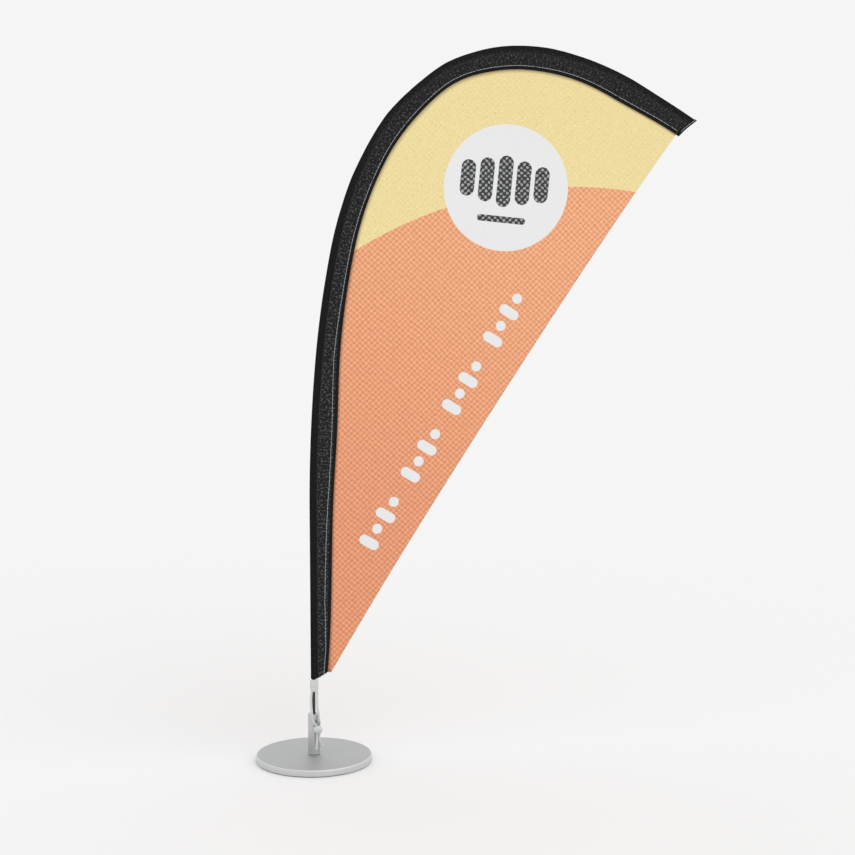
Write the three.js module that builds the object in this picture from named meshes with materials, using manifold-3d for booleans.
// A desktop teardrop flag: a round steel base, a turning post, a bent springy pole and a printed
// flag that hangs from a black sleeve. Millimetres, +Z up. The origin is the centre of the
// base's underside, and the flag stands in the XZ plane with its free edge towards +X.
import * as THREE from "three";
import { mergeVertices } from "three/addons/utils/BufferGeometryUtils.js";
import Module from "manifold-3d";

const wasm = await Module();
wasm.setup();

// ---- Driving dimensions ----

const touchGap = 0.3; // between cloth pieces that meet edge to edge
const seatGap = 0.05; // between faces that rest on each other
const runGap = 0.1; // radial clearance of a pin in its hole

// Base
const plateDiameter = 80;
const plateThickness = 4.5;
const plateChamfer = 0.7;
const padInset = 3; // from the plate's edge to the pad's
const padThickness = 0.5;

// Turning joint between the base and the post
const screwDiameter = 3;
const screwHeadDiameter = 5.6;
const screwLength = 9;
const screwRoom = 0.5; // left past the screw's end
const spindleDiameter = 4;
const spindleHeight = 15.4;
const washerThickness = 0.4;
const washerInset = 0.2; // from the post's outside to the washer's
const rotorFlange = 1;
const rotorHeight = 12.4;
const rotorDiameter = 6.6;
const clipThickness = 0.5;
const clipDiameter = 6;
const clipGroove = 0.4; // depth of the groove that holds the clip
const clipMouth = 2.2; // width of the clip's opening

// Post
const postDiameter = 8.2;
const postHeight = 27.1;
const postBoreTop = 1; // room above the spindle's end
const postWeb = 1; // floor of the pole's socket
const postRim = 0.35; // chamfer at the post's ends

// Pole: a straight foot, then arcs that each have a length and a turn in degrees
const poleDiameter = 2.4;
const poleStraight = 152;
const poleArcs = [
  [100, 5],
  [80, 6.5],
  [70, 16.5],
  [70, 28.5],
  [70, 38],
  [70, 23],
  [60.5, 5],
];
const lowerPoleLength = 335;
const jointPinDiameter = 1.2;
const jointPinLength = 24;
const jointPinRoom = 0.5; // left past each end of the pin
const capWall = 0.2;
const capLength = 5;

// Sleeve: a folded band of cloth with the pole in its outer edge
const sleeveFootHeight = 58.2; // height of the sleeve's outer lower corner
const sleeveWidth = 14; // from the pole's centre line to the printed cloth
const sleeveCloth = 0.4;
const sleeveEase = 0.3; // slack of the sleeve round the pole
const sleeveFlat = 1.1; // thickness of the two flat layers
const straightStep = 16; // between stations where the band is straight
const bentStep = 9; // between stations where the band bends
const shortestStep = 7;
const footNarrowing = 4.2; // the sleeve is this much narrower at its foot
const footFade = 50;
const footFlat = 2.4; // the foot's edge is level this far past the pole, then it rises
const footSlant = 0.56; // rise for each millimetre of width
const tipSlant = -0.34;
const seamSwells = [
  [2.2, 172, 48],
  [-1.8, 445, 26],
  [1.4, 580, 28],
]; // height, place along the sleeve, spread
const marginWidth = 2.6;
const marginThickness = 0.9;
const hemWidth = 3;
const tipRoom = 4; // from the pole's cap to the hem

// Printed cloth
const clothThickness = 0.5;
const freeEdgeHollow = 4.9; // how far the free edge curves in at its middle
const tipCorner = 2.3; // the printed cloth stops this far short of the sleeve's end
const footLedge = 2.5; // width of the printed cloth at its foot

// Tab, elastic cord, its peg and bead
const tabWidth = 5.5;
const tabFoldWidth = 2.3;
const tabShoulder = 0.6; // height over which the tab narrows to its fold
const tabBottom = 49.4;
const tabCloth = 0.5;
const tabClear = 0.2; // between the pole and the tab
const cordDiameter = 1.5;
const cordGap = 0.1;
const strandGap = 0.2; // between the two strands inside the bead
const strandClear = 0.25; // between a strand and the post
const archRadius = 2; // the cord's bend over the tab's fold
const pegHeading = -77; // degrees from +X, seen from above
const pegHeight = 28.7;
const pegDiameter = 1.6;
const pegReach = 4.8; // out of the post
const pegDepth = 2.3; // into the post
const pegHeadDiameter = 2.4;
const pegHeadLength = 0.6;
const pegHeadRim = 0.3; // the head's full-width part, before it narrows
const pegFaceShare = 0.6; // the head's flat face, as a share of its width
const beadDiameter = 6.4;
const beadHeight = 24;
const beadClear = 0.15; // between the bead and the post
const beadTravel = 3; // the bead slides this far down the strands
const strandDrift = -0.3; // both strands hang this far to one side below the tab
const strandLeans = [-3.4, 1.4]; // to the right of the peg, where each crosses the post's top
const pegPasses = [-2.4, 1.85]; // to the right of the peg, where each passes it
const tailEnds = [[-1.5, 9.7], [3.3, 11.1]]; // to the right of the peg, and height
const tailSlack = 0.4; // the tails sag this far, and start this far below the bead's travel
const endDiameter = 2.2; // melted end of a tail
const cordSteps = 80;

// ---- Worked out from those ----

const plateBottom = padThickness;
const plateTop = padThickness + plateThickness;
const poleRadius = poleDiameter / 2;
const strandSpacing = cordDiameter + strandGap;
const washerTop = plateTop + seatGap + washerThickness;
const rotorBottom = washerTop + seatGap;
const rotorTop = rotorBottom + rotorHeight;
const clipBottom = rotorTop + seatGap;
const spindleTop = plateTop + spindleHeight;
const postBottom = rotorBottom + rotorFlange + seatGap;
const postTop = postBottom + postHeight;
const postBoreEnd = spindleTop + postBoreTop;
const socketBottom = postBoreEnd + postWeb;
const poleBottom = socketBottom + seatGap;
const poleArcLength = poleArcs.reduce((sum, arc) => sum + arc[0], 0);
const pathLength = poleStraight + poleArcLength;
const boreRadius = poleRadius + sleeveEase;
const ridgeRadius = boreRadius + sleeveCloth;
const sleeveStart = sleeveFootHeight - poleBottom;
const sleeveEnd = pathLength;
const hemStart = sleeveEnd - hemWidth;
const capEnd = hemStart - touchGap - tipRoom;
const poleEnd = capEnd - capWall * 2;

// ---- Helpers ----

const radians = THREE.MathUtils.degToRad;

const group = new THREE.Group();

function addMesh(name, geometry, colour, roughness, metalness) {
  const material = new THREE.MeshStandardMaterial({ color: colour, roughness, metalness });
  const mesh = new THREE.Mesh(geometry, material);
  mesh.name = name;
  group.add(mesh);
}

function solidOf(geometry) {
  const bare = geometry.clone();
  bare.deleteAttribute("normal");
  bare.deleteAttribute("uv");
  const merged = mergeVertices(bare, 1e-4);
  const mesh = new wasm.Mesh({
    numProp: 3,
    vertProperties: new Float32Array(merged.attributes.position.array),
    triVerts: new Uint32Array(merged.index.array),
  });
  return new wasm.Manifold(mesh);
}

function geometryOf(solid) {
  const mesh = solid.getMesh();
  const geometry = new THREE.BufferGeometry();
  geometry.setAttribute("position", new THREE.BufferAttribute(mesh.vertProperties, 3));
  geometry.setIndex(new THREE.BufferAttribute(mesh.triVerts, 1));
  geometry.computeVertexNormals();
  return geometry;
}

function subtract(geometry, ...cutters) {
  const cut = cutters.reduce((solid, cutter) => solid.subtract(solidOf(cutter)), solidOf(geometry));
  return geometryOf(cut);
}

function join(...geometries) {
  const solids = geometries.map(solidOf);
  return geometryOf(solids.reduce((all, solid) => all.add(solid)));
}

// A turned piece about the Z axis, from [radius, height] pairs.
function turned(profile, sides) {
  const points = profile.map(([radius, height]) => new THREE.Vector2(radius, height));
  return new THREE.LatheGeometry(points, sides).rotateX(Math.PI / 2);
}

// A round pin about the Z axis, open to a boolean at both ends.
function pin(radius, bottom, top, sides = 24) {
  return turned([[0, bottom], [radius, bottom], [radius, top], [0, top]], sides);
}

function rodAlong(curve, radius, sides, steps) {
  const section = new THREE.Shape();
  for (let i = 0; i < sides; i += 1) {
    const angle = (i / sides) * Math.PI * 2;
    const x = radius * Math.cos(angle);
    const y = radius * Math.sin(angle);
    if (i === 0) section.moveTo(x, y);
    else section.lineTo(x, y);
  }
  section.closePath();
  return new THREE.ExtrudeGeometry(section, { steps, extrudePath: curve, bevelEnabled: false });
}

// A closed body through rings of points, each ring listed the same way round.
function loft(rings) {
  const count = rings[0].length;
  const positions = rings.flat().flatMap((point) => [point.x, point.y, point.z]);
  const faces = [];
  for (let r = 0; r + 1 < rings.length; r += 1) {
    for (let i = 0; i < count; i += 1) {
      const a = r * count + i;
      const b = r * count + ((i + 1) % count);
      faces.push(a, b + count, b, a, a + count, b + count);
    }
  }
  const outline = rings[0].map((point, i) => ringPlane(rings[0], i));
  const cap = THREE.ShapeUtils.triangulateShape(outline, []);
  const last = (rings.length - 1) * count;
  for (const [a, b, c] of cap) {
    faces.push(a, b, c);
    faces.push(last + c, last + b, last + a);
  }
  const geometry = new THREE.BufferGeometry();
  geometry.setAttribute("position", new THREE.Float32BufferAttribute(positions, 3));
  geometry.setIndex(faces);
  geometry.computeVertexNormals();
  return geometry;
}

// A ring's point in the plane of its first ring: across the band, and out of the flag's plane.
function ringPlane(ring, i) {
  const across = new THREE.Vector2(ring[i].x - ring[0].x, ring[i].z - ring[0].z);
  const inward = Math.sign(across.x) || 1;
  return new THREE.Vector2(across.length() * inward, -ring[i].y);
}

// ---- The pole's path and the band along it ----

// The place and heading at a distance along the pole's centre line, in the XZ plane.
function poleAt(distance) {
  const straight = Math.min(distance, poleStraight);
  let x = 0;
  let z = poleBottom + straight;
  let heading = Math.PI / 2;
  let left = distance - straight;
  for (const [length, turn] of poleArcs) {
    if (left <= 0) break;
    const bend = radians(turn) / length;
    const run = Math.min(left, length);
    const next = heading - bend * run;
    x += (Math.sin(heading) - Math.sin(next)) / bend;
    z += (Math.cos(next) - Math.cos(heading)) / bend;
    heading = next;
    left -= run;
  }
  return { x, z, heading };
}

// A point off the path: across is towards the printed cloth, out is towards +Y.
function bandPoint(distance, across, out) {
  const { x, z, heading } = poleAt(distance);
  const along = Math.max(distance - pathLength, 0);
  return new THREE.Vector3(
    x + across * Math.sin(heading) + along * Math.cos(heading),
    out,
    z - across * Math.cos(heading) + along * Math.sin(heading),
  );
}

// The sleeve's seam: where the band meets the printed cloth.
function seamAt(distance) {
  const along = distance - sleeveStart;
  const drift = seamSwells.reduce(
    (sum, [height, place, spread]) => sum + height * Math.exp(-(((along - place) / spread) ** 2)),
    0,
  );
  return sleeveWidth - footNarrowing * Math.exp(-along / footFade) + drift;
}

class PolePath extends THREE.Curve {
  constructor(from, to) {
    super();
    this.from = from;
    this.to = to;
  }

  getPoint(share, target = new THREE.Vector3()) {
    return target.copy(bandPoint(this.from + (this.to - this.from) * share, 0, 0));
  }
}

// Stations along a stretch of the band, closer together where the pole bends.
function stations(from, to) {
  const list = [from];
  while (list.at(-1) < to) {
    const here = list.at(-1);
    const bending = here > poleStraight + poleArcs[0][0];
    list.push(here + (bending ? bentStep : straightStep));
  }
  list.pop();
  if (to - list.at(-1) < shortestStep && list.length > 1) list.pop();
  list.push(to);
  return list;
}

// Where the band's slanted ends lie, for a point at a distance across it.
function footAt(across) {
  return sleeveStart + footSlant * Math.max(across - footFlat, 0);
}

function tipAt(across, end) {
  return end + tipSlant * (across + ridgeRadius);
}

// A body along the band. section(distance) lists [across, out] pairs.
function band(section, end) {
  const places = stations(sleeveStart, end);
  const rings = places.map((place, i) => {
    const ends = (across) => {
      if (i === 0) return footAt(across);
      if (i === places.length - 1) return tipAt(across, end);
      return place;
    };
    return section(place).map(([across, out]) => bandPoint(ends(across), across, out));
  });
  return loft(rings);
}

// ---- Base ----

function basePlate() {
  const radius = plateDiameter / 2;
  const hole = screwDiameter / 2 + runGap;
  const sink = screwHeadDiameter / 2 + runGap;
  const profile = [
    [sink, plateBottom],
    [radius, plateBottom],
    [radius, plateTop - plateChamfer],
    [radius - plateChamfer, plateTop],
    [hole, plateTop],
    [hole, plateBottom + sink - hole],
    [sink, plateBottom],
  ];
  return turned(profile, 96);
}

function basePad() {
  return pin(plateDiameter / 2 - padInset, 0, padThickness - seatGap, 72);
}

function baseScrew() {
  const shank = screwDiameter / 2;
  const head = screwHeadDiameter / 2;
  const bottom = plateBottom;
  const profile = [
    [0, bottom],
    [head, bottom],
    [shank, bottom + head - shank],
    [shank, bottom + screwLength],
    [0, bottom + screwLength],
  ];
  return turned(profile, 24);
}

function spindle() {
  const radius = spindleDiameter / 2;
  const neck = radius - clipGroove;
  const bore = screwDiameter / 2 + seatGap;
  const seat = plateTop + seatGap;
  const boreEnd = plateBottom + screwLength + screwRoom;
  const grooveTop = clipBottom + clipThickness + seatGap;
  const profile = [
    [bore, seat],
    [radius, seat],
    [radius, rotorTop],
    [neck, rotorTop],
    [neck, grooveTop],
    [radius, grooveTop],
    [radius, spindleTop - clipGroove],
    [neck, spindleTop],
    [0, spindleTop],
    [0, boreEnd],
    [bore, boreEnd],
    [bore, seat],
  ];
  return turned(profile, 32);
}

function ring(inner, outer, bottom, top, sides) {
  return turned([[inner, bottom], [outer, bottom], [outer, top], [inner, top], [inner, bottom]], sides);
}

function thrustWasher() {
  const bottom = plateTop + seatGap;
  return ring(spindleDiameter / 2 + runGap, postDiameter / 2 - washerInset, bottom, washerTop, 40);
}

function rotorBush() {
  const bore = spindleDiameter / 2 + runGap;
  const barrel = rotorDiameter / 2;
  const flangeTop = rotorBottom + rotorFlange;
  const profile = [
    [bore, rotorBottom],
    [postDiameter / 2, rotorBottom],
    [postDiameter / 2, flangeTop],
    [barrel, flangeTop],
    [barrel, rotorTop],
    [bore, rotorTop],
    [bore, rotorBottom],
  ];
  return turned(profile, 40);
}

// An open spring clip in the spindle's groove.
function retainingClip() {
  const inner = spindleDiameter / 2 - clipGroove + seatGap;
  const body = ring(inner, clipDiameter / 2, clipBottom, clipBottom + clipThickness, 32);
  const slot = new THREE.BoxGeometry(clipDiameter, clipMouth, clipThickness * 4);
  slot.translate(clipDiameter / 2, 0, clipBottom);
  return subtract(body, slot);
}

// ---- Post and the peg on it ----

function pegAxis(geometry) {
  geometry.rotateY(Math.PI / 2);
  geometry.rotateZ(radians(pegHeading));
  geometry.translate(0, 0, pegHeight);
  return geometry;
}

function post() {
  const radius = postDiameter / 2;
  const bore = rotorDiameter / 2 + runGap;
  const socket = poleRadius + runGap;
  const profile = [
    [bore, postBottom],
    [radius, postBottom],
    [radius, postTop - postRim],
    [radius - postRim, postTop],
    [socket + postRim, postTop],
    [socket, postTop - postRim],
    [socket, socketBottom],
    [0, socketBottom],
    [0, postBoreEnd],
    [bore, postBoreEnd],
    [bore, postBottom],
  ];
  const hole = pegAxis(pin(pegDiameter / 2 + seatGap, radius - pegDepth, radius + 2, 16));
  return subtract(turned(profile, 40), hole);
}

function cordPeg() {
  const radius = pegDiameter / 2;
  const head = pegHeadDiameter / 2;
  const inner = postDiameter / 2 - pegDepth + seatGap;
  const outer = postDiameter / 2 + pegReach;
  const neck = outer - pegHeadLength;
  const profile = [
    [0, inner],
    [radius, inner],
    [radius, neck],
    [head, neck],
    [head, neck + pegHeadRim],
    [head * pegFaceShare, outer],
    [0, outer],
  ];
  return pegAxis(turned(profile, 20));
}

// ---- Pole ----

function jointPinHole(radius) {
  const half = jointPinLength / 2 + jointPinRoom;
  return rodAlong(new PolePath(lowerPoleLength - half, lowerPoleLength + half), radius, 8, 6);
}

function lowerPole() {
  const rod = rodAlong(new PolePath(0, lowerPoleLength), poleRadius, 10, 34);
  return subtract(rod, jointPinHole(jointPinDiameter / 2 + runGap));
}

function upperPole() {
  const from = lowerPoleLength + seatGap;
  const steps = Math.round((poleEnd - from) / 8);
  const rod = rodAlong(new PolePath(from, poleEnd), poleRadius, 10, steps);
  return subtract(rod, jointPinHole(jointPinDiameter / 2 + runGap));
}

function jointPin() {
  const half = jointPinLength / 2;
  const path = new PolePath(lowerPoleLength - half, lowerPoleLength + half);
  return rodAlong(path, jointPinDiameter / 2, 8, 4);
}

function poleCap() {
  const inside = new PolePath(capEnd - capLength - 1, poleEnd + seatGap);
  const hollow = rodAlong(inside, poleRadius + seatGap, 10, 3);
  const body = rodAlong(new PolePath(capEnd - capLength, capEnd), poleRadius + capWall, 10, 3);
  return subtract(body, hollow);
}

// ---- Sleeve, its seam margin and the hem at its tip ----

function poleSleeve() {
  const flat = sleeveFlat / 2;
  const halfRound = [180, 150, 120, 90, 65].map((angle) => [
    ridgeRadius * Math.cos(radians(angle)),
    ridgeRadius * Math.sin(radians(angle)),
  ]);
  const section = (place) => {
    const edge = seamAt(place) - marginWidth;
    const upper = [...halfRound, [ridgeRadius * 1.2, flat * 1.6], [ridgeRadius * 1.8, flat], [edge, flat]];
    const lower = upper.slice(1).reverse().map(([across, out]) => [across, -out]);
    return [...upper, ...lower];
  };
  const body = band(section, hemStart - touchGap);
  const bore = rodAlong(new PolePath(sleeveStart - 10, capEnd + tipRoom / 2), boreRadius, 10, 66);
  return subtract(body, bore);
}

function seamMargin() {
  const half = marginThickness / 2;
  const section = (place) => {
    const outer = seamAt(place);
    const inner = outer - marginWidth + touchGap;
    return [[inner, half], [outer, half], [outer, -half], [inner, -half]];
  };
  return band(section, hemStart - touchGap);
}

// A flat piece in the flag's plane, from [x, z] pairs.
function flatPiece(outline, thickness) {
  const shape = new THREE.Shape(outline.map(([x, z]) => new THREE.Vector2(x, z)));
  const geometry = new THREE.ExtrudeGeometry(shape, { depth: thickness, bevelEnabled: false });
  geometry.rotateX(Math.PI / 2);
  geometry.translate(0, thickness / 2, 0);
  return geometry;
}

function tipHem() {
  const outer = -ridgeRadius;
  const inner = seamAt(hemStart);
  const corners = [
    bandPoint(tipAt(outer, hemStart), outer, 0),
    bandPoint(tipAt(outer, sleeveEnd), outer, 0),
    bandPoint(tipAt(inner, sleeveEnd), inner, 0),
    bandPoint(tipAt(inner, hemStart), inner, 0),
  ];
  return flatPiece(corners.map((corner) => [corner.x, corner.z]), sleeveFlat);
}

// ---- Printed cloth ----

// The free edge, a long shallow arc from one corner to the other, without its ends.
function hollowArc(from, to, hollow, count) {
  const chord = Math.hypot(to[0] - from[0], to[1] - from[1]);
  const radius = (chord * chord) / (8 * hollow) + hollow / 2;
  const half = Math.asin(chord / 2 / radius);
  const right = [(to[1] - from[1]) / chord, -(to[0] - from[0]) / chord];
  const middle = [(from[0] + to[0]) / 2, (from[1] + to[1]) / 2];
  const points = [];
  for (let i = 1; i < count; i += 1) {
    const angle = half * ((2 * i) / count - 1);
    const along = radius * Math.sin(angle);
    const off = radius * Math.cos(angle) - radius * Math.cos(half);
    points.push([
      middle[0] - right[1] * along + right[0] * off,
      middle[1] + right[0] * along + right[1] * off,
    ]);
  }
  return points;
}

function flagPanel() {
  const edge = (place) => {
    const point = bandPoint(place, seamAt(place) + touchGap, 0);
    return [point.x, point.z];
  };
  const foot = footAt(seamAt(sleeveStart));
  const tip = tipAt(seamAt(sleeveEnd), sleeveEnd) - tipCorner;
  const seam = stations(foot, tip).map(edge);
  const ledge = bandPoint(foot, seamAt(foot) + touchGap + footLedge, 0);
  const corner = [ledge.x, ledge.z];
  const free = hollowArc(seam.at(-1), corner, freeEdgeHollow, 24);
  return flatPiece([...seam, ...free, corner], clothThickness);
}

// ---- Tab, cord and bead ----

const tabOut = -(poleRadius + tabClear + tabCloth + cordGap + cordDiameter / 2);
const archHeight = tabBottom + tabCloth + cordGap * 1.5 + cordDiameter / 2 - archRadius;

function tabLoop() {
  const cavity = cordDiameter / 2 + cordGap;
  const outer = cavity + tabCloth;
  const foldHeight = tabBottom + outer;
  const topHeight = sleeveFootHeight - touchGap;
  const cavityTop = foldHeight + cordDiameter * 2;
  const side = new THREE.Shape();
  side.moveTo(-outer, foldHeight);
  side.absarc(0, foldHeight, outer, Math.PI, Math.PI * 2, false);
  side.lineTo(outer, cavityTop);
  side.lineTo(tabCloth, topHeight);
  side.lineTo(-tabCloth, topHeight);
  side.lineTo(-outer, cavityTop);
  side.closePath();
  const hole = new THREE.Path();
  hole.absarc(0, foldHeight, cavity, Math.PI, Math.PI * 2, false);
  hole.absarc(0, cavityTop - tabCloth, cavity, 0, Math.PI, false);
  hole.closePath();
  side.holes.push(hole);
  const options = { depth: tabWidth, bevelEnabled: false, curveSegments: 6 };
  const body = new THREE.ExtrudeGeometry(side, options);
  body.translate(0, 0, -tabWidth / 2);
  body.applyMatrix4(new THREE.Matrix4().makeBasis(
    new THREE.Vector3(0, 1, 0),
    new THREE.Vector3(0, 0, 1),
    new THREE.Vector3(1, 0, 0),
  ));
  body.translate(0, tabOut, 0);
  const half = tabWidth / 2;
  const fold = tabFoldWidth / 2;
  const shoulder = tabBottom + outer;
  const front = [
    [-fold, tabBottom - 1],
    [fold, tabBottom - 1],
    [fold, shoulder],
    [half, shoulder + tabShoulder],
    [half, topHeight + 1],
    [-half, topHeight + 1],
    [-half, shoulder + tabShoulder],
    [-fold, shoulder],
  ];
  const mask = flatPiece(front, 20);
  const tape = geometryOf(solidOf(body).intersect(solidOf(mask)));
  return subtract(tape, rodAlong(cordRoute(), cordDiameter / 2 + cordGap, 8, cordSteps));
}

// Directions at the peg: out from the post, and to the right as one faces the peg.
const pegOut = new THREE.Vector2(Math.cos(radians(pegHeading)), Math.sin(radians(pegHeading)));
const pegRight = new THREE.Vector2(-pegOut.y, pegOut.x);
const beadReach = postDiameter / 2 + beadDiameter / 2 + beadClear;

function nearPeg(right, out, height) {
  const x = pegOut.x * out + pegRight.x * right;
  const y = pegOut.y * out + pegRight.y * right;
  return new THREE.Vector3(x, y, height);
}

const beadCentre = nearPeg(0, beadReach, beadHeight);

// One strand's points from the tab down, past the peg, through the bead and to its tail's end.
function strand(side) {
  const which = side < 0 ? 0 : 1;
  const hole = side * strandSpacing / 2;
  const lean = strandLeans[which];
  const pass = pegPasses[which];
  const [tailRight, tailHeight] = tailEnds[which];
  const spread = archRadius + 0.15;
  const beadTop = beadHeight + beadDiameter / 2;
  const beadBottom = beadHeight - beadDiameter / 2;
  const clear = postDiameter / 2 + cordDiameter / 2 + strandClear;
  const straightEnd = beadBottom - beadTravel - tailSlack;
  const tailMiddle = (straightEnd + tailHeight) / 2 - tailSlack;
  return [
    new THREE.Vector3(side * archRadius, tabOut, archHeight - 0.5),
    new THREE.Vector3(side * spread + strandDrift, tabOut - 0.8, archHeight - 5),
    new THREE.Vector3(side * spread + strandDrift, tabOut - 1.7, archHeight - 10),
    nearPeg(lean, clear, postTop + 0.5),
    nearPeg((lean + pass) / 2, clear + 0.1, pegHeight + 2.6),
    nearPeg(pass, clear + 0.9, pegHeight),
    nearPeg(hole * 1.5, beadReach - 0.25, pegHeight - 1.3),
    nearPeg(hole, beadReach, beadTop + 0.1),
    nearPeg(hole, beadReach, beadTop - 0.8),
    nearPeg(hole, beadReach, beadHeight),
    nearPeg(hole, beadReach, beadBottom),
    nearPeg(hole, beadReach, straightEnd),
    nearPeg((hole + tailRight) / 2, beadReach + 0.1, tailMiddle),
    nearPeg(tailRight, beadReach + 0.1, tailHeight),
  ];
}

function arch() {
  return [150, 120, 90, 60, 30].map((angle) => new THREE.Vector3(
    archRadius * Math.cos(radians(angle)),
    tabOut,
    archHeight + archRadius * Math.sin(radians(angle)),
  ));
}

function cordRoute() {
  const route = [...strand(-1).reverse(), ...arch(), ...strand(1)];
  return new THREE.CatmullRomCurve3(route, false, "centripetal");
}

function elasticCord() {
  const tube = rodAlong(cordRoute(), cordDiameter / 2, 8, cordSteps);
  const ends = [strand(-1).at(-1), strand(1).at(-1)].map((end) => {
    const blob = new THREE.SphereGeometry(endDiameter / 2, 10, 7);
    return blob.translate(end.x, end.y, end.z);
  });
  return join(tube, ...ends);
}

function cordBead() {
  const radius = beadDiameter / 2;
  const ball = new THREE.SphereGeometry(radius, 24, 16).rotateX(Math.PI / 2);
  ball.translate(beadCentre.x, beadCentre.y, beadCentre.z);
  const slot = new THREE.Shape();
  const half = strandSpacing / 2;
  const hole = cordDiameter / 2 + cordGap;
  slot.absarc(half, 0, hole, -Math.PI / 2, Math.PI / 2, false);
  slot.absarc(-half, 0, hole, Math.PI / 2, Math.PI * 1.5, false);
  slot.closePath();
  const options = { depth: beadDiameter * 2, bevelEnabled: false, curveSegments: 8 };
  const cutter = new THREE.ExtrudeGeometry(slot, options);
  cutter.rotateZ(Math.atan2(pegRight.y, pegRight.x));
  cutter.translate(beadCentre.x, beadCentre.y, beadHeight - beadDiameter);
  return subtract(ball, cutter);
}

// ---- The assembly ----

addMesh("base_plate", basePlate(), 0xb9bbbc, 0.35, 1);
addMesh("base_pad", basePad(), 0x2a2a2a, 0.9, 0);
addMesh("base_screw", baseScrew(), 0x9a9a9a, 0.4, 1);
addMesh("spindle", spindle(), 0xaeb0b2, 0.3, 1);
addMesh("thrust_washer", thrustWasher(), 0xe8e8e4, 0.6, 0);
addMesh("retaining_clip", retainingClip(), 0x55585a, 0.4, 1);
addMesh("rotor_bush", rotorBush(), 0xc9cbcc, 0.45, 0);
addMesh("post", post(), 0xc4c6c7, 0.35, 1);
addMesh("cord_peg", cordPeg(), 0x4a4c4e, 0.35, 1);
addMesh("pole_lower", lowerPole(), 0x0c0c0d, 0.4, 0);
addMesh("pole_joint_pin", jointPin(), 0x8a8c8e, 0.4, 1);
addMesh("pole_upper", upperPole(), 0x0c0c0d, 0.4, 0);
addMesh("pole_tip_cap", poleCap(), 0x161616, 0.8, 0);
addMesh("pole_sleeve", poleSleeve(), 0x232324, 0.9, 0);
addMesh("seam_margin", seamMargin(), 0x1b1b1c, 0.9, 0);
addMesh("tip_hem", tipHem(), 0x1b1b1c, 0.9, 0);
addMesh("flag_panel", flagPanel(), 0xec9b6c, 0.9, 0);
addMesh("cord_tab", tabLoop(), 0xe6e6e4, 0.85, 0);
addMesh("elastic_cord", elasticCord(), 0xdededc, 0.8, 0);
addMesh("cord_bead", cordBead(), 0xe2e4e4, 0.25, 0);

export default group;
